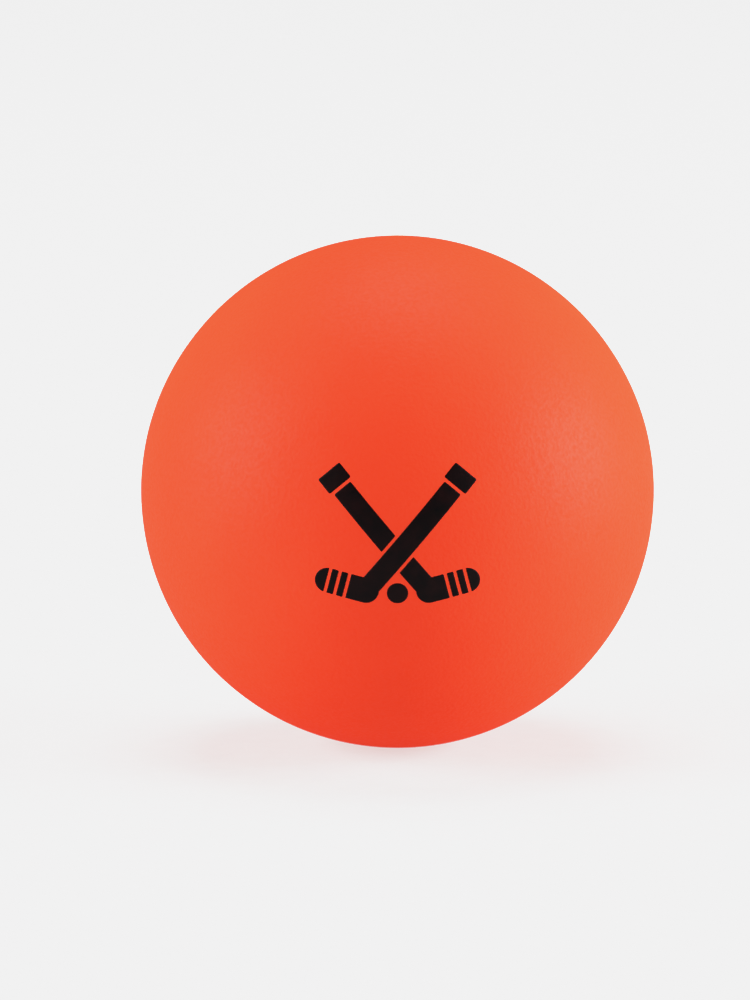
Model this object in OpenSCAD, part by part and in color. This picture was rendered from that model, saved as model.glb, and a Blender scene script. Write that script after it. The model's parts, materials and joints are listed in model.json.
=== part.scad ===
// Liquid-filled street hockey ball.
// A hollow moulded wall holds a little liquid, which takes the bounce out of the ball. A barbed
// plug, cemented into its seat, closes the fill hole. A mark is printed on the side away from it.
// The origin is the ball's centre and +Z is up. The mark faces -Y and the plug faces +Y.
// All sizes are in millimetres and all angles in degrees.

/* [Ball] */
// Outside diameter of the ball
ball_d = 65; // [55:0.5:80]
// Thickness of the moulded wall
wall_t = 5; // [4:0.1:8]
// Width of the line that the mould's two halves leave
parting_w = 0.5; // [0.3:0.05:1]
// How far that line stands proud of the ball
parting_h = 0.06; // [0.03:0.01:0.12]

/* [Fill hole and plug] */
// Diameter of the fill hole through the wall
hole_d = 5; // [4:0.1:6]
// Diameter of the seat sunk round the hole for the plug's head
seat_d = 9; // [8:0.1:11]
// Depth of the seat's floor below the ball's surface
seat_depth = 1.8; // [1.5:0.1:2.4]
// Size of the chamfer round the seat's mouth
mouth_chamfer = 0.25; // [0.1:0.05:0.5]
// Gap all round the plug's head
head_gap = 0.15; // [0.05:0.05:0.3]
// Size of the chamfer round the plug's face
rim_ease = 0.2; // [0.1:0.05:0.3]
// How far the plug's face lies below the ball's surface
face_recess = 0.1; // [0.05:0.05:0.3]
// Thickness of the cement ring under the plug's head
cement_t = 0.2; // [0.1:0.05:0.4]
// How far the cement is squeezed up round the plug's head
cement_rise = 0.5; // [0.2:0.05:0.5]
// Gap round the plug's neck, and behind its barb
fit_gap = 0.05; // [0.02:0.01:0.1]
// How far the barb hooks past the edge of the hole
barb_hook = 0.8; // [0.4:0.1:1.2]
// How far the barb reaches into the cavity
barb_l = 3; // [2:0.1:5]
// Diameter of the barb's tip
barb_tip_d = 3.2; // [2:0.1:3.8]
// Diameter of the moulding gate's dimple in the plug's face
gate_d = 1.4; // [0.8:0.1:2]
// Depth of that dimple
gate_depth = 0.3; // [0.25:0.05:0.6]
// Diameter of the stub that the gate leaves in the dimple
stub_d = 0.6; // [0.4:0.1:0.7]
// Height of that stub
stub_h = 0.15; // [0.1:0.05:0.2]

/* [Liquid] */
// Depth of the liquid where it is deepest
fill_depth = 23; // [10:1:40]
// Radius of the curve where the liquid climbs the wall
meniscus_r = 1.5; // [0.8:0.1:2.5]
// Gap between the liquid and what it slides over
liquid_gap = 0.2; // [0.1:0.05:0.5]

/* [Printed mark] */
// Thickness of the ink film
ink_t = 0.05; // [0.03:0.01:0.1]
// Lean of each crossed stick from the vertical
stick_lean = 40; // [36:1:44]
// Distance of each stick's heel from the mark's centre line
heel_x = 3.9; // [3.6:0.1:5]
// Depth of each heel below the middle of the mark
heel_drop = 7.1; // [6.6:0.1:8]
// Length of each shaft, from the heel to the butt
shaft_l = 19.2; // [16:0.1:22]
// Width of each shaft
shaft_w = 2.6; // [1.8:0.1:2.9]
// Length of the knob at the butt
knob_l = 2.2; // [1.2:0.1:3]
// Width of that knob
knob_w = 3.4; // [3:0.1:4]
// Length of each blade, from the heel to the middle of the toe
blade_l = 4.8; // [4.2:0.1:6]
// Width of each blade
blade_w = 3.2; // [2.4:0.1:3.6]
// Rise of each blade towards its toe
blade_rise = 14; // [5:1:25]
// Number of clear lines across each blade
tape_lines = 3; // [1:1:3]
// Distance from one clear line to the next
tape_pitch = 1.2; // [0.9:0.1:1.3]
// Width of every clear line in the mark
clear_w = 0.4; // [0.3:0.05:0.6]
// Diameter of the small printed ball
dot_d = 2.6; // [1.6:0.1:2.9]
// Depth of the small printed ball below the middle of the mark
dot_drop = 7.4; // [7:0.1:8.5]

/* [Hidden] */
$fn = 96;

// How far a cut runs past the surface that it opens
overcut = 1;

// How far joined parts of one solid run into each other
join = 0.3;

ball_r = ball_d / 2;
cavity_r = ball_r - wall_t;

// Round section of the parting line, which meets the ball's surface at the line's two edges
parting_section_r = (parting_w * parting_w / 4 + parting_h * parting_h) / (2 * parting_h);

// Heights along the plug's axis, from the ball's centre
seat_z = ball_r - seat_depth;
head_z = seat_z + cement_t;
face_r = ball_r - face_recess;
barb_tip_z = cavity_r - barb_l;
barb_mid_z = cavity_r - barb_l / 2;
mouth_z = sqrt(pow(ball_r, 2) - pow(seat_d / 2, 2));

head_d = seat_d - 2 * head_gap;
neck_d = hole_d - 2 * fit_gap;
barb_d = hole_d + 2 * barb_hook;

// Where the chamfer round the plug's face starts, and its cone's radius at the head's two ends
rim_z = sqrt(pow(face_r, 2) - pow(head_d / 2, 2)) - rim_ease;
rim_low_r = head_d / 2 + rim_z - head_z;
rim_high_r = rim_low_r - seat_depth;

liquid_r = cavity_r - liquid_gap;
liquid_z = fill_depth - cavity_r;
liquid_edge_r = sqrt(pow(liquid_r, 2) - pow(liquid_z, 2));

pvc_orange = "#F04E2C";
plug_orange = "#EC5A34";
cement_amber = "#D9B36C";
liquid_blue = "#BFDDE6";
ink_black = "#1C1718";

// Turns what is drawn along +Z towards the plug, at +Y
module along_plug() {
    rotate([-90, 0, 0]) children();
}

// Turns what is drawn along +Z towards the mark, at -Y, with +Y of the drawing upwards
module along_mark() {
    rotate([90, 0, 0]) children();
}

// Low rounded line round the ball, half way between the plug and the mark
module parting_line() {
    rotate_extrude()
        translate([ball_r + parting_h - parting_section_r, 0])
            circle(r = parting_section_r);
}

// Fill hole, the seat for the plug's head, and the chamfer round the seat's mouth
module fill_opening() {
    cylinder(d = hole_d, h = ball_r + overcut);
    translate([0, 0, seat_z])
        cylinder(d = seat_d, h = seat_depth + overcut);
    translate([0, 0, mouth_z - mouth_chamfer])
        cylinder(
            d1 = seat_d,
            d2 = seat_d + 2 * (mouth_chamfer + overcut),
            h = mouth_chamfer + overcut
        );
}

// Moulded wall of the ball
module shell() {
    color(pvc_orange)
        difference() {
            union() {
                sphere(r = ball_r);
                along_plug() parting_line();
            }
            sphere(r = cavity_r);
            along_plug() fill_opening();
        }
}

// Head of the plug, whose chamfered face carries on the curve of the ball
module plug_head() {
    intersection() {
        translate([0, 0, head_z])
            cylinder(d = head_d, h = seat_depth);
        translate([0, 0, head_z])
            cylinder(r1 = rim_low_r, r2 = rim_high_r, h = seat_depth);
        sphere(r = face_r);
    }
}

// Tapered barb behind the wall, shaped to the cavity where it bears on it
module plug_barb() {
    intersection() {
        translate([0, 0, barb_tip_z])
            cylinder(d1 = barb_tip_d, d2 = barb_d, h = barb_l);
        sphere(r = cavity_r - fit_gap);
    }
}

// Plug that closes the fill hole
module fill_plug() {
    color(plug_orange)
        along_plug() {
            difference() {
                union() {
                    plug_head();
                    translate([0, 0, barb_mid_z])
                        cylinder(d = neck_d, h = head_z + join - barb_mid_z);
                    plug_barb();
                }
                translate([0, 0, face_r - gate_depth])
                    cylinder(d = gate_d, h = gate_depth + overcut);
            }
            translate([0, 0, face_r - gate_depth - join])
                cylinder(d = stub_d, h = stub_h + join);
        }
}

// Cement between the seat and the plug's head, squeezed up into the gap round the head
module plug_cement() {
    color(cement_amber)
        along_plug()
            translate([0, 0, seat_z])
                difference() {
                    cylinder(d = seat_d, h = cement_t + cement_rise);
                    translate([0, 0, cement_t])
                        cylinder(d = head_d, h = cement_rise + overcut);
                    translate([0, 0, -overcut])
                        cylinder(d = hole_d, h = cement_t + 2 * overcut);
                }
}

// Half of the air's outline over the liquid, with its lower edge rounded where the liquid climbs
module air_outline() {
    translate([0, liquid_z])
        square([liquid_edge_r - meniscus_r, ball_d]);
    translate([0, liquid_z + meniscus_r])
        square([liquid_edge_r, ball_d]);
    translate([liquid_edge_r - meniscus_r, liquid_z + meniscus_r])
        circle(r = meniscus_r);
}

// Liquid lying in the cavity, kept clear of the plug's barb however it swings round
module liquid_fill() {
    color(liquid_blue)
        difference() {
            rotate_extrude()
                difference() {
                    intersection() {
                        circle(r = liquid_r);
                        translate([0, -ball_r])
                            square([ball_r, ball_r + liquid_z + meniscus_r]);
                    }
                    air_outline();
                }
            along_plug()
                translate([0, 0, barb_tip_z - liquid_gap])
                    cylinder(d = barb_d + 2 * liquid_gap, h = ball_r);
        }
}

// Shaft of a stick with its knob, along +Y from the heel
module stick_shaft() {
    translate([-shaft_w / 2, 0])
        square([shaft_w, shaft_l - knob_l - clear_w]);
    translate([-knob_w / 2, shaft_l - knob_l])
        square([knob_w, knob_l]);
}

// Blade of a stick with its clear lines, along +X from the heel
module stick_blade() {
    difference() {
        union() {
            circle(d = blade_w);
            translate([0, -blade_w / 2])
                square([blade_l, blade_w]);
            translate([blade_l, 0])
                circle(d = blade_w);
        }
        for (i = [0 : tape_lines - 1])
            translate([blade_l - i * tape_pitch - clear_w / 2, -blade_w])
                square([clear_w, 2 * blade_w]);
    }
}

// Puts a part of a stick at the heel of the stick whose butt leans to the right
module at_heel(turn) {
    translate([-heel_x, -heel_drop])
        rotate(turn)
            children();
}

// One whole stick
module stick() {
    at_heel(-stick_lean) stick_shaft();
    at_heel(180 - blade_rise) stick_blade();
}

// Outline of the mark: one stick crossed over the other, with a ball between their heels
module mark_outline() {
    stick();
    difference() {
        mirror([1, 0]) stick();
        at_heel(-stick_lean)
            translate([-shaft_w / 2 - clear_w, 0])
                square([shaft_w + 2 * clear_w, shaft_l]);
    }
    translate([0, -dot_drop])
        circle(d = dot_d);
}

// Ink film on the ball's surface
module printed_mark() {
    color(ink_black)
        intersection() {
            difference() {
                sphere(r = ball_r + ink_t);
                sphere(r = ball_r);
            }
            along_mark()
                linear_extrude(height = ball_d)
                    mark_outline();
        }
}

shell();
fill_plug();
plug_cement();
liquid_fill();
printed_mark();
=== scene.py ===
"""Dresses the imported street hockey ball: moulded wall, plug, cement, ink film, light and camera."""

import json
import math

import bpy
import numpy as np
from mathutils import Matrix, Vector, noise


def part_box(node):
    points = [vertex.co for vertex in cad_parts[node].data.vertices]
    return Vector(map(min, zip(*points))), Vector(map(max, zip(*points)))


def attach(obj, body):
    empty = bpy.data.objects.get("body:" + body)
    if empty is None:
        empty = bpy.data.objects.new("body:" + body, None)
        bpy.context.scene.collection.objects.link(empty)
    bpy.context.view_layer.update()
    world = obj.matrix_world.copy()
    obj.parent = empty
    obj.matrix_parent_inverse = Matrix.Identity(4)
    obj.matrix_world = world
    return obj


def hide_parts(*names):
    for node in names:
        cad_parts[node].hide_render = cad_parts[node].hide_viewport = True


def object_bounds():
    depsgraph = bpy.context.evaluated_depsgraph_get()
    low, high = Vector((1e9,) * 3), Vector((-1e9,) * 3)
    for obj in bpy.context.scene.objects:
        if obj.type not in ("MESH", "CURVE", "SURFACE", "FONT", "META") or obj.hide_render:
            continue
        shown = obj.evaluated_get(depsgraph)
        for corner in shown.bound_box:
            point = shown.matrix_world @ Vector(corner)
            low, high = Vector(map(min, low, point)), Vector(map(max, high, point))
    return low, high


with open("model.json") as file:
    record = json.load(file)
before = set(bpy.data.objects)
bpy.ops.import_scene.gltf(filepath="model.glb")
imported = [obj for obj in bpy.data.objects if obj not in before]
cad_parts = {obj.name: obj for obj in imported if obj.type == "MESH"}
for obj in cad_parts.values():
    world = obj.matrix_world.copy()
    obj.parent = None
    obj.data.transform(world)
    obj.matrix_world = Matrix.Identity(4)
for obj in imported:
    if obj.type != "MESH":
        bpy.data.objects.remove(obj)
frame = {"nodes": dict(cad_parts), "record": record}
cad_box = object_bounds()

# Sizes that the frame doesn't give repeat the CAD model's; fillets and unevenness are added here
MM = 0.001

# Ball
BALL_R = frame["record"]["mounts"][0]["dims"]["r_mm"] * MM
WALL_T = 5 * MM
CAVITY_R = BALL_R - WALL_T

# Line left by the mould, half way between the mark and the plug, whose height varies by a share of
# itself, with so many waves to a radius of the ball
PARTING_W = 0.5 * MM
PARTING_H = 0.06 * MM
PARTING_UNEVEN = 0.2
PARTING_WAVES = 9

# Slow and quick unevenness of the moulded surface, always inwards from the nominal sphere; the
# shift makes the quick one differ from the slow one
SWELL_DEPTH, SWELL_LENGTH = 0.03 * MM, 14 * MM
PEEL_DEPTH, PEEL_LENGTH = 0.008 * MM, 4 * MM
PEEL_SHIFT = Vector((7.3, 1.9, 4.1))

# Rows and segments of the wall's mesh
FRONT_ROWS, PARTING_ROWS, BACK_ROWS, CAVITY_ROWS = 100, 17, 92, 70
WALL_SEGMENTS = 300

# Fill opening, whose axis is +Y; the cement lies on its seat and fills it from side to side
CEMENT_LOW, CEMENT_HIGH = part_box("plug_cement")
SEAT_R = CEMENT_HIGH.x
SEAT_Y = CEMENT_LOW.y
HOLE_R = 2.5 * MM
HOLE_EASE = 0.2 * MM
MOUTH_CHAMFER = 0.25 * MM
MOUTH_FILLET, SEAT_FILLET, HOLE_FILLET = 0.12 * MM, 0.2 * MM, 0.15 * MM

# Cement: the ring under the plug's head, and what squeezed up into the gap round the head, which
# reaches these shares of its full height in the middle of the gap and at the head
CEMENT_T = 0.2 * MM
CEMENT_TOP = CEMENT_HIGH.y
CEMENT_BORE_R = HOLE_R + 0.1 * MM
CEMENT_FILLET = 0.1 * MM
CEMENT_GAP = 0.02 * MM
CEMENT_MIDDLE, CEMENT_INNER = 0.85, 0.95

# Plug: barb, neck and head; the barb is cut off at a share of its taper
PLUG_LOW, PLUG_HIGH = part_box("fill_plug")
TIP_Y = PLUG_LOW.y
TIP_R, TIP_FILLET = 1.6 * MM, 0.35 * MM
BARB_R, BARB_FILLET = HOLE_R + 0.8 * MM, 0.15 * MM
BARB_BACK_R = CAVITY_R - 0.05 * MM
BARB_SHARE = 0.88
NECK_R, NECK_FILLET = HOLE_R - 0.05 * MM, 0.1 * MM
HEAD_R, HEAD_FILLET = PLUG_HIGH.x, 0.1 * MM
HEAD_Y = SEAT_Y + CEMENT_T
FACE_R = BALL_R - 0.1 * MM
FACE_INSET, FACE_ROWS = 0.3 * MM, 16
RIM_EASE = 0.2 * MM
PLUG_SEGMENTS = 160

# Moulding gate: the dimple in the plug's face, and the stub that stands in it, with the shares of
# its radius that its top has, and of its height that the middle of its top has
GATE_R, GATE_DEPTH = 0.7 * MM, 0.3 * MM
GATE_TAPER = 0.1 * MM
GATE_EDGE_FILLET, GATE_FLOOR_FILLET = 0.08 * MM, 0.1 * MM
STUB_R, STUB_H = 0.3 * MM, 0.15 * MM
STUB_FOOT_FILLET, STUB_TOP_FILLET = 0.05 * MM, 0.06 * MM
STUB_TAPER, STUB_MIDDLE = 0.8, 0.9

# Printed mark, in the plane square to -Y: x to the right, z up
STICK_LEAN = math.radians(40)
HEEL_X, HEEL_Z = -3.9 * MM, -7.1 * MM
SHAFT_L, SHAFT_W = 19.2 * MM, 2.6 * MM
KNOB_L, KNOB_W = 2.2 * MM, 3.4 * MM
BLADE_L, BLADE_W = 4.8 * MM, 3.2 * MM
BLADE_RISE = math.radians(14)
TAPE_LINES, TAPE_PITCH = 3, 1.2 * MM
CLEAR_W = 0.4 * MM
DOT_R, DOT_Z = 1.3 * MM, -7.4 * MM

# Ink film: its thickness, its share of that at the edge, the width of the taper there, how far its
# lower face sinks into the wall, and the radius of its corners
INK_T = 0.05 * MM
INK_EDGE_SHARE = 0.35
INK_EDGE_W = 0.12 * MM
INK_SINK = 0.01 * MM
INK_ROUND = 0.15 * MM

# Grid that the film is cut from: half its width, its cells, and how near a cut comes to a corner
INK_REACH = 11.5 * MM
INK_CELL = 0.11 * MM
INK_CUT_LOW, INK_CUT_HIGH = 0.1, 0.9

# Meshes: steps in a fillet's arc, the radius that counts as on the axis, and the angle from which
# an edge shows as sharp
FILLET_STEPS = 5
ON_AXIS = 1e-9
SHARP_ANGLE = math.radians(40)
INK_SHARP_ANGLE = math.radians(60)

# Range that holds most values of a noise texture
NOISE_LOW, NOISE_HIGH = 0.3, 0.7

# Camera: the photo's frame and the ball's place in it, in pixels
IMAGE_W, IMAGE_H = 750, 1000
BALL_PX = (397.5, 491.6)
BALL_R_PX = 256.3
CAMERA_ELEVATION = math.radians(9.4)
CAMERA_DISTANCE = 0.9
SENSOR = 36.0

# Soft boxes: where each one stands as the camera sees it (right, up, back), and its radiance
SOFTBOX_DISTANCE = 2.0
SOFTBOX_SIZE = 1.2
SOFTBOXES = {
    "softbox_left": ((-0.93, 0.3, 0.2), 12.6),
    "softbox_top": ((0.01, 0.99, -0.07), 8.0),
    "softbox_right": ((0.98, 0.18, 0.07), 21.0),
}

# Surround and floor
WORLD_STRENGTH = 0.11
FLOOR_R, FLOOR_SIDES = 6.0, 64
FLOOR_Z = cad_box[0].z

# Film curve: straight up to the knee, then a steep rise that levels off at the top, over a span of
# brightness, with a power that sets how steep it is
FILM_KNEE, FILM_TOP = 0.4, 0.885
FILM_SPAN = 1.0
FILM_POWER = 6
FILM_STEPS = 12


# Meshes

def make_object(name, vertices, faces, material, sharp=SHARP_ANGLE):
    """A smooth-shaded mesh object, sharp only at edges steeper than the given angle."""
    mesh = bpy.data.meshes.new(name)
    mesh.from_pydata(vertices, [], faces)
    mesh.validate()
    mesh.shade_smooth()
    mesh.set_sharp_from_angle(angle=sharp)
    mesh.materials.append(material)
    obj = bpy.data.objects.new(name, mesh)
    bpy.context.scene.collection.objects.link(obj)
    return obj


def rounded(corners):
    """A polyline through corners (radius, height, fillet), with each fillet drawn as an arc."""
    points = []
    last = len(corners) - 1
    for i, (r, y, fillet) in enumerate(corners):
        here = np.array([r, y])
        if fillet == 0 or i in (0, last):
            points.append(here)
            continue
        to_prev = np.array(corners[i - 1][:2]) - here
        to_next = np.array(corners[i + 1][:2]) - here
        to_prev /= np.linalg.norm(to_prev)
        to_next /= np.linalg.norm(to_next)
        half = math.acos(np.clip(to_prev @ to_next, -1, 1)) / 2
        inwards = to_prev + to_next
        centre = here + inwards / np.linalg.norm(inwards) * fillet / math.sin(half)
        start = here + to_prev * fillet / math.tan(half) - centre
        end = here + to_next * fillet / math.tan(half) - centre
        a0 = math.atan2(start[1], start[0])
        turn = math.atan2(end[1], end[0]) - a0
        turn -= 2 * math.pi * round(turn / (2 * math.pi))
        for k in range(FILLET_STEPS + 1):
            a = a0 + turn * k / FILLET_STEPS
            points.append(centre + fillet * np.array([math.cos(a), math.sin(a)]))
    return points


def arc(radius, start, end, steps):
    """Points (radius, height) on a sphere's section; the angle is measured from -Y towards +Y."""
    return [
        np.array([radius * math.sin(a), -radius * math.cos(a)])
        for a in np.linspace(start, end, steps)
    ]


def revolve(profile, segments, ring=False):
    """Vertices and faces of a profile turned about Y, which runs from axis to axis or is a ring."""
    rows, vertices, faces = [], [], []
    for r, y in profile:
        if r < ON_AXIS:
            rows.append([len(vertices)] * segments)
            vertices.append((0.0, y, 0.0))
            continue
        rows.append(range(len(vertices), len(vertices) + segments))
        for k in range(segments):
            a = 2 * math.pi * k / segments
            vertices.append((r * math.cos(a), y, r * math.sin(a)))
    pairs = list(zip(rows, rows[1:]))
    if ring:
        pairs.append((rows[-1], rows[0]))
    for low, high in pairs:
        for k in range(segments):
            n = (k + 1) % segments
            face = [low[k], high[k], high[n], low[n]]
            faces.append(list(dict.fromkeys(face)))
    return vertices, faces


def waves(point, length, shift=Vector()):
    """Smooth noise from 0 to 1, with waves of about the given length."""
    return 0.5 + 0.5 * noise.noise(point / length + shift)


def swell(direction):
    """How far the moulded surface lies below the nominal sphere, in a given direction."""
    point = direction * BALL_R
    slow = SWELL_DEPTH * waves(point, SWELL_LENGTH)
    quick = PEEL_DEPTH * waves(point, PEEL_LENGTH, PEEL_SHIFT)
    return slow + quick


def parting_height(direction):
    """Height of the mould line, which is a little uneven along its length."""
    off = abs(direction.y) * BALL_R / (PARTING_W / 2)
    if off >= 1:
        return 0.0
    uneven = 1 - PARTING_UNEVEN + PARTING_UNEVEN * noise.noise(direction * PARTING_WAVES)
    return PARTING_H * uneven * (0.5 + 0.5 * math.cos(math.pi * off))


# Moulded wall

def ball_wall(material):
    """The whole wall: outside, seat, fill hole and cavity, as one closed surface."""
    rim_a = math.pi - math.asin((SEAT_R + MOUTH_CHAMFER) / BALL_R)
    hole_a = math.pi - math.asin((HOLE_R + HOLE_EASE) / CAVITY_R)
    mid = math.pi / 2
    # Fine rows cover the mould line and a little beside it, and the plain rows stop short of them
    half_line = PARTING_W / 2 / BALL_R
    fine, plain = 2 * half_line, 3 * half_line
    outside = (
        arc(BALL_R, 0, mid - plain, FRONT_ROWS)
        + arc(BALL_R, mid - fine, mid + fine, PARTING_ROWS)
        + arc(BALL_R, mid + plain, rim_a, BACK_ROWS)
    )
    cavity = arc(CAVITY_R, hole_a, 0, CAVITY_ROWS)
    rim_y = outside[-1][1]
    opening = rounded([
        (*outside[-1], 0),
        (SEAT_R, rim_y - MOUTH_CHAMFER, MOUTH_FILLET),
        (SEAT_R, SEAT_Y, SEAT_FILLET),
        (HOLE_R, SEAT_Y, HOLE_FILLET),
        (HOLE_R, cavity[0][1] + HOLE_EASE, 0),
        (*cavity[0], 0),
    ])
    vertices, faces = revolve(outside + opening[1:-1] + cavity, WALL_SEGMENTS)
    outer_count = 1 + (len(outside) - 1) * WALL_SEGMENTS
    for i, v in enumerate(vertices[:outer_count]):
        d = Vector(v).normalized()
        vertices[i] = d * (BALL_R - swell(d) + parting_height(d))
    return make_object("ball_wall", vertices, faces, material)


# Plug and cement

def plug_body(material):
    """The plug: barb, neck, head with an eased rim, and the moulding gate's dimple and stub."""
    barb_r = TIP_R + (BARB_R - TIP_R) * BARB_SHARE
    barb_y = TIP_Y + (CAVITY_R - TIP_Y) * BARB_SHARE
    neck_y = math.sqrt(BARB_BACK_R ** 2 - NECK_R ** 2)
    rim_y = math.sqrt(FACE_R ** 2 - HEAD_R ** 2)
    gate_y = math.sqrt(FACE_R ** 2 - GATE_R ** 2)
    floor_y = gate_y - GATE_DEPTH
    face_start = math.pi - math.asin((HEAD_R - FACE_INSET) / FACE_R)
    face_end = math.pi - math.asin(GATE_R / FACE_R)
    face = [(r, y, 0) for r, y in arc(FACE_R, face_start, face_end, FACE_ROWS)]
    profile = rounded(
        [
            (0, TIP_Y, 0),
            (TIP_R, TIP_Y, TIP_FILLET),
            (barb_r, barb_y, BARB_FILLET),
            (NECK_R, neck_y, NECK_FILLET),
            (NECK_R, HEAD_Y, NECK_FILLET),
            (HEAD_R, HEAD_Y, HEAD_FILLET),
            (HEAD_R, rim_y, RIM_EASE),
        ]
        + face[:-1]
        + [
            (GATE_R, gate_y, GATE_EDGE_FILLET),
            (GATE_R - GATE_TAPER, floor_y, GATE_FLOOR_FILLET),
            (STUB_R, floor_y, STUB_FOOT_FILLET),
            (STUB_R * STUB_TAPER, floor_y + STUB_H, STUB_TOP_FILLET),
            (0, floor_y + STUB_H * STUB_MIDDLE, 0),
        ]
    )
    return make_object("plug_body", *revolve(profile, PLUG_SEGMENTS), material)


def cement_ring(material):
    """The cement under the plug's head, with the little that squeezed up round it."""
    rise = CEMENT_TOP - HEAD_Y
    profile = rounded([
        (CEMENT_BORE_R, SEAT_Y + CEMENT_GAP, 0),
        (SEAT_R - CEMENT_GAP, SEAT_Y + CEMENT_GAP, CEMENT_FILLET),
        (SEAT_R - CEMENT_GAP, CEMENT_TOP, 0),
        ((SEAT_R + HEAD_R) / 2, HEAD_Y + rise * CEMENT_MIDDLE, 0),
        (HEAD_R + CEMENT_GAP, HEAD_Y + rise * CEMENT_INNER, 0),
        (HEAD_R + CEMENT_GAP, HEAD_Y - CEMENT_GAP, 0),
        (CEMENT_BORE_R, HEAD_Y - CEMENT_GAP, 0),
    ])
    return make_object("cement_ring", *revolve(profile, PLUG_SEGMENTS, ring=True), material)


# Printed mark

def bar(x, z, angle, start, end, half_w):
    """Distance field of a bar that runs from start to end along the direction at angle from +Z."""
    def field(px, pz):
        along = (px - x) * math.sin(angle) + (pz - z) * math.cos(angle)
        across = (px - x) * math.cos(angle) - (pz - z) * math.sin(angle)
        a = np.abs(along - (start + end) / 2) - (end - start) / 2 + INK_ROUND
        b = np.abs(across) - half_w + INK_ROUND
        outside = np.hypot(np.maximum(a, 0), np.maximum(b, 0))
        within = np.minimum(np.maximum(a, b), 0)
        return outside + within - INK_ROUND
    return field


def disc(x, z, radius):
    """Distance field of a disc."""
    return lambda px, pz: np.hypot(px - x, pz - z) - radius


def stick(px, pz):
    """Distance field of the stick whose butt leans to the right."""
    blade_a = BLADE_RISE - math.pi / 2
    toe_x = HEEL_X + BLADE_L * math.sin(blade_a)
    toe_z = HEEL_Z + BLADE_L * math.cos(blade_a)
    shaft = bar(HEEL_X, HEEL_Z, STICK_LEAN, 0, SHAFT_L - KNOB_L - CLEAR_W, SHAFT_W / 2)(px, pz)
    knob = bar(HEEL_X, HEEL_Z, STICK_LEAN, SHAFT_L - KNOB_L, SHAFT_L, KNOB_W / 2)(px, pz)
    blade = bar(HEEL_X, HEEL_Z, blade_a, 0, BLADE_L, BLADE_W / 2)(px, pz)
    heel = disc(HEEL_X, HEEL_Z, BLADE_W / 2)(px, pz)
    toe = disc(toe_x, toe_z, BLADE_W / 2)(px, pz)
    blade = np.minimum(np.minimum(blade, heel), toe)
    for i in range(TAPE_LINES):
        at = BLADE_L - i * TAPE_PITCH
        line = bar(HEEL_X, HEEL_Z, blade_a, at - CLEAR_W / 2, at + CLEAR_W / 2, BLADE_W)(px, pz)
        blade = np.maximum(blade, -line)
    return np.minimum(np.minimum(shaft, knob), blade)


def mark(px, pz):
    """Distance field of the whole mark: two crossed sticks and a ball."""
    over = bar(HEEL_X, HEEL_Z, STICK_LEAN, 0, SHAFT_L, SHAFT_W / 2 + CLEAR_W)(px, pz)
    rear = np.maximum(stick(-px, pz), -over)
    dot = disc(0, DOT_Z, DOT_R)(px, pz)
    return np.minimum(np.minimum(stick(px, pz), rear), dot)


def mark_cells():
    """The mark cut from a square grid: its points (x, z), their depth inside it, and its cells."""
    count = int(2 * INK_REACH / INK_CELL)
    grid = np.linspace(-INK_REACH, INK_REACH, count + 1)
    px, pz = np.meshgrid(grid, grid, indexing="ij")
    field = mark(px, pz)
    points, depths, found, cells = [], [], {}, []

    def point(key, x, z, depth):
        """The number of the point with this key, which is added if it is new."""
        if key not in found:
            found[key] = len(points)
            points.append((x, z))
            depths.append(depth)
        return found[key]

    inside = field < 0
    touched = inside[:-1, :-1] | inside[1:, :-1] | inside[1:, 1:] | inside[:-1, 1:]
    for i, j in zip(*np.nonzero(touched)):
        corners = [(i, j), (i + 1, j), (i + 1, j + 1), (i, j + 1)]
        cell = []
        for a, b in zip(corners, corners[1:] + corners[:1]):
            if inside[a]:
                cell.append(point(a, px[a], pz[a], -field[a]))
            if inside[a] != inside[b]:
                cut = field[a] / (field[a] - field[b])
                cut = min(max(cut, INK_CUT_LOW), INK_CUT_HIGH)
                x = px[a] + cut * (px[b] - px[a])
                z = pz[a] + cut * (pz[b] - pz[a])
                cell.append(point((min(a, b), max(a, b)), x, z, 0.0))
        cells.append(cell)
    return points, depths, cells


def ink_lift(depth):
    """Height of the film's upper face at a given distance inside the mark's outline."""
    edge = min(depth / INK_EDGE_W, 1)
    return INK_T * (INK_EDGE_SHARE + (1 - INK_EDGE_SHARE) * math.sqrt(edge * (2 - edge)))


def ink_film(material):
    """The ink: a thin film with tapered edges, laid on the moulded surface."""
    points, depths, cells = mark_cells()
    upper, lower = [], []
    for (x, z), depth in zip(points, depths):
        direction = Vector((x, -math.sqrt(BALL_R ** 2 - x ** 2 - z ** 2), z)).normalized()
        surface = BALL_R - swell(direction)
        upper.append(direction * (surface + ink_lift(depth)))
        lower.append(direction * (surface - INK_SINK))
    under = len(points)
    faces = [c[:] for c in cells] + [[v + under for v in reversed(c)] for c in cells]
    edges = {(a, b) for c in cells for a, b in zip(c, c[1:] + c[:1])}
    faces += [[b, a, a + under, b + under] for a, b in edges if (b, a) not in edges]
    return make_object("ink_film", upper + lower, faces, material, sharp=INK_SHARP_ANGLE)


# Materials

def new_material(name):
    """A material with its Principled shader, and object coordinates in metres."""
    mat = bpy.data.materials.new(name)
    mat.use_nodes = True
    tree = mat.node_tree
    shader = tree.nodes["Principled BSDF"]
    coords = tree.nodes.new("ShaderNodeTexCoord").outputs["Object"]
    return mat, tree, shader, coords


def noise_node(tree, coords, length, detail, roughness):
    """Noise whose features are about the given length, in metres."""
    node = tree.nodes.new("ShaderNodeTexNoise")
    node.inputs["Scale"].default_value = 1 / length
    node.inputs["Detail"].default_value = detail
    node.inputs["Roughness"].default_value = roughness
    tree.links.new(coords, node.inputs["Vector"])
    return node.outputs["Fac"]


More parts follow.
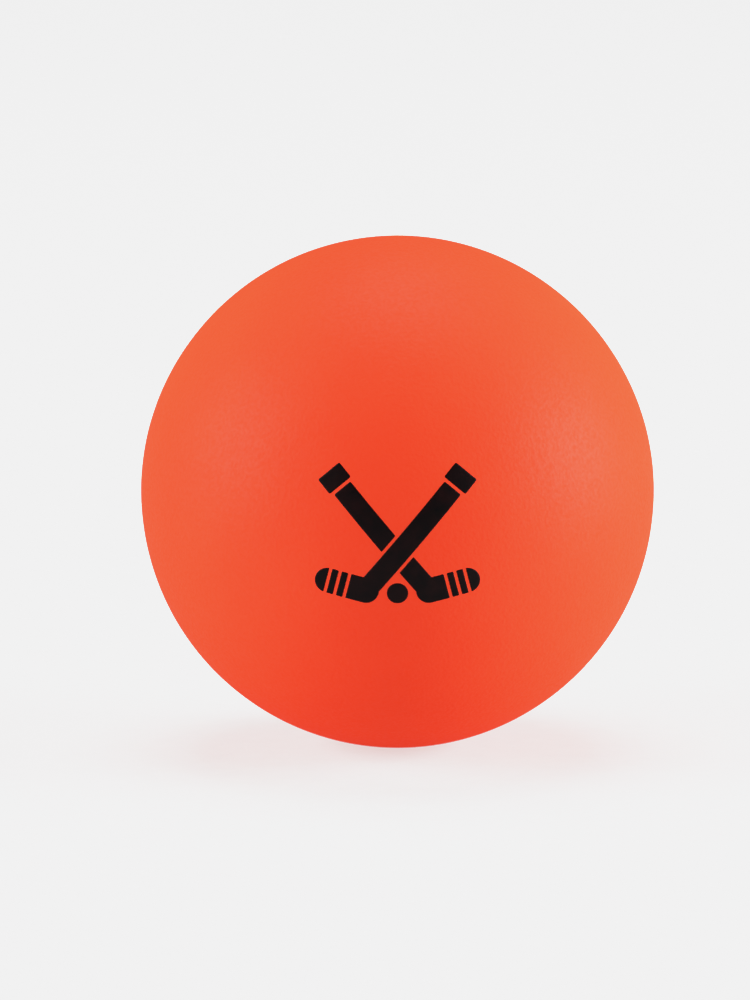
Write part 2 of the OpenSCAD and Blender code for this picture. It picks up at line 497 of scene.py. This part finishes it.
def ramp(tree, fac, low, high):
    """Maps noise to a mix of two colours."""
    node = tree.nodes.new("ShaderNodeValToRGB")
    for stop, at, colour in zip(node.color_ramp.elements, (NOISE_LOW, NOISE_HIGH), (low, high)):
        stop.position = at
        stop.color = (*colour, 1)
    tree.links.new(fac, node.inputs["Fac"])
    return node.outputs["Color"]


def spread(tree, fac, low, high):
    """Maps noise to a range of values."""
    node = tree.nodes.new("ShaderNodeMapRange")
    node.inputs["From Min"].default_value = NOISE_LOW
    node.inputs["From Max"].default_value = NOISE_HIGH
    node.inputs["To Min"].default_value = low
    node.inputs["To Max"].default_value = high
    tree.links.new(fac, node.inputs["Value"])
    return node.outputs["Result"]


def bump(tree, height, depth, strength, under=None):
    """A bump of the given depth, in metres."""
    node = tree.nodes.new("ShaderNodeBump")
    node.inputs["Distance"].default_value = depth
    node.inputs["Strength"].default_value = strength
    tree.links.new(height, node.inputs["Height"])
    if under is not None:
        tree.links.new(under, node.inputs["Normal"])
    return node.outputs["Normal"]


def pvc(name, dark, light, rough):
    """Satin soft PVC: faint clouds in the pigment, a fine matt skin and slight flow marks."""
    mat, tree, shader, coords = new_material(name)
    clouds = noise_node(tree, coords, length=9 * MM, detail=4, roughness=0.55)
    skin = noise_node(tree, coords, length=0.45 * MM, detail=1, roughness=0.5)
    flow = noise_node(tree, coords, length=2.2 * MM, detail=5, roughness=0.6)
    colour = ramp(tree, clouds, low=dark, high=light)
    roughness = spread(tree, flow, low=rough - 0.03, high=rough + 0.04)
    flow_normal = bump(tree, flow, depth=0.03 * MM, strength=0.5)
    normal = bump(tree, skin, depth=0.06 * MM, strength=0.7, under=flow_normal)
    coat = spread(tree, skin, low=0.075, high=0.185)
    tree.links.new(colour, shader.inputs["Base Color"])
    tree.links.new(roughness, shader.inputs["Roughness"])
    tree.links.new(normal, shader.inputs["Normal"])
    tree.links.new(normal, shader.inputs["Coat Normal"])
    tree.links.new(coat, shader.inputs["Coat Weight"])
    shader.inputs["Specular IOR Level"].default_value = 0
    shader.inputs["Coat Roughness"].default_value = rough
    shader.inputs["Coat IOR"].default_value = 1.5
    return mat


def ink_material():
    """Satin black ink with a trace of the orange under it where the film is thin."""
    mat, tree, shader, coords = new_material("ink")
    clouds = noise_node(tree, coords, length=2.5 * MM, detail=4, roughness=0.6)
    grain = noise_node(tree, coords, length=0.25 * MM, detail=3, roughness=0.6)
    colour = ramp(tree, clouds, low=(0.0011, 0.0009, 0.0012), high=(0.0088, 0.002, 0.0022))
    roughness = spread(tree, grain, low=0.38, high=0.5)
    normal = bump(tree, grain, depth=0.006 * MM, strength=0.5)
    tree.links.new(colour, shader.inputs["Base Color"])
    tree.links.new(roughness, shader.inputs["Roughness"])
    tree.links.new(normal, shader.inputs["Normal"])
    shader.inputs["Specular IOR Level"].default_value = 0.08
    return mat


def cement_material():
    """Cured cement: cloudy amber, with a slightly uneven surface."""
    mat, tree, shader, coords = new_material("cement")
    clouds = noise_node(tree, coords, length=0.8 * MM, detail=4, roughness=0.6)
    colour = ramp(tree, clouds, low=(0.5, 0.28, 0.07), high=(0.74, 0.5, 0.2))
    roughness = spread(tree, clouds, low=0.25, high=0.45)
    normal = bump(tree, clouds, depth=0.03 * MM, strength=0.5)
    tree.links.new(colour, shader.inputs["Base Color"])
    tree.links.new(roughness, shader.inputs["Roughness"])
    tree.links.new(normal, shader.inputs["Normal"])
    return mat


def liquid_material():
    """Clear liquid with a faint tint and a slightly rippled surface."""
    mat, tree, shader, coords = new_material("liquid")
    ripple = noise_node(tree, coords, length=6 * MM, detail=2, roughness=0.4)
    colour = ramp(tree, ripple, low=(0.62, 0.82, 0.88), high=(0.72, 0.88, 0.92))
    normal = bump(tree, ripple, depth=0.1 * MM, strength=0.4)
    tree.links.new(colour, shader.inputs["Base Color"])
    tree.links.new(normal, shader.inputs["Normal"])
    shader.inputs["Roughness"].default_value = 0.03
    shader.inputs["IOR"].default_value = 1.36
    shader.inputs["Transmission Weight"].default_value = 0.9
    return mat


def floor_material():
    """Matt paper with a glow of its own, which keeps it pale and the ball's shadow faint."""
    mat, tree, shader, coords = new_material("floor")
    fibre = noise_node(tree, coords, length=3 * MM, detail=3, roughness=0.6)
    colour = ramp(tree, fibre, low=(0.24, 0.24, 0.24), high=(0.26, 0.26, 0.26))
    tree.links.new(colour, shader.inputs["Base Color"])
    shader.inputs["Roughness"].default_value = 0.9
    shader.inputs["Specular IOR Level"].default_value = 0.1
    shader.inputs["Emission Color"].default_value = (1, 1, 1, 1)
    shader.inputs["Emission Strength"].default_value = 0.48
    return mat


# Pieces

wall_pvc = pvc("pvc_orange", dark=(0.87, 0.0632, 0.0226), light=(0.89, 0.0667, 0.0238), rough=0.5)
plug_pvc = pvc("plug_orange", dark=(0.83, 0.074, 0.0263), light=(0.86, 0.082, 0.0297), rough=0.45)
wall = ball_wall(wall_pvc)
plug = plug_body(plug_pvc)
cement = cement_ring(cement_material())
ink = ink_film(ink_material())
for piece, node, slot in (
    (wall, "shell", "pvc"),
    (plug, "fill_plug", "plug"),
    (cement, "plug_cement", "cement"),
    (ink, "printed_mark", "ink"),
):
    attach(piece, "ball")
    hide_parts(node)
liquid = frame["nodes"]["liquid_fill"]
liquid.data.materials.clear()
liquid.data.materials.append(liquid_material())


# Camera, which looks at the ball's centre

right = Vector((1, 0, 0))
back = Vector((0, -math.cos(CAMERA_ELEVATION), math.sin(CAMERA_ELEVATION)))
up = back.cross(right)
camera_data = bpy.data.cameras.new("camera")
camera = bpy.data.objects.new("camera", camera_data)
bpy.context.scene.collection.objects.link(camera)
camera.location = back * CAMERA_DISTANCE
camera.rotation_euler = (-back).to_track_quat("-Z", "Y").to_euler()
seen_r = BALL_R / math.sqrt(1 - (BALL_R / CAMERA_DISTANCE) ** 2)
camera_data.sensor_width = SENSOR
camera_data.lens = SENSOR * CAMERA_DISTANCE * BALL_R_PX / (seen_r * IMAGE_H)
camera_data.shift_x = (IMAGE_W / 2 - BALL_PX[0]) / IMAGE_H
camera_data.shift_y = (BALL_PX[1] - IMAGE_H / 2) / IMAGE_H
bpy.context.scene.camera = camera


# Studio: three soft boxes, even surround and pale floor

def softbox(name, direction, radiance):
    """A square area light that faces the ball; direction is right, up and back."""
    towards = (right * direction[0] + up * direction[1] + back * direction[2]).normalized()
    data = bpy.data.lights.new(name, "AREA")
    data.shape = "SQUARE"
    data.size = SOFTBOX_SIZE
    data.energy = radiance * math.pi * SOFTBOX_SIZE ** 2
    light = bpy.data.objects.new(name, data)
    bpy.context.scene.collection.objects.link(light)
    light.location = towards * SOFTBOX_DISTANCE
    light.rotation_euler = towards.to_track_quat("Z", "Y").to_euler()
    light.visible_camera = False


for name, (direction, radiance) in SOFTBOXES.items():
    softbox(name, direction, radiance)

world = bpy.data.worlds.new("surround")
world.use_nodes = True
background = world.node_tree.nodes["Background"]
background.inputs["Color"].default_value = (1, 1, 1, 1)
background.inputs["Strength"].default_value = WORLD_STRENGTH
bpy.context.scene.world = world

floor_points = [
    (FLOOR_R * math.cos(a), FLOOR_R * math.sin(a), FLOOR_Z)
    for a in np.linspace(0, 2 * math.pi, FLOOR_SIDES, endpoint=False)
]
floor = make_object("floor", floor_points, [list(range(FLOOR_SIDES))], floor_material())


# Film

def film_response():
    """Sets one film curve on each channel, which keeps bright orange from clipping."""
    view = bpy.context.scene.view_settings
    view.view_transform = "Standard"
    view.use_curve_mapping = True
    mapping = view.curve_mapping
    mapping.use_clip = False
    mapping.extend = "HORIZONTAL"
    for channel in mapping.curves[:3]:
        points = channel.points
        points[0].location = (0, 0)
        points[1].location = (FILM_KNEE, FILM_KNEE)
        for share in np.linspace(0, 1, FILM_STEPS + 1)[1:]:
            level = 1 - (1 - share) ** FILM_POWER
            points.new(FILM_KNEE + FILM_SPAN * share, FILM_KNEE + (FILM_TOP - FILM_KNEE) * level)
        for point in points:
            point.handle_type = "VECTOR"
    mapping.update()


film_response()
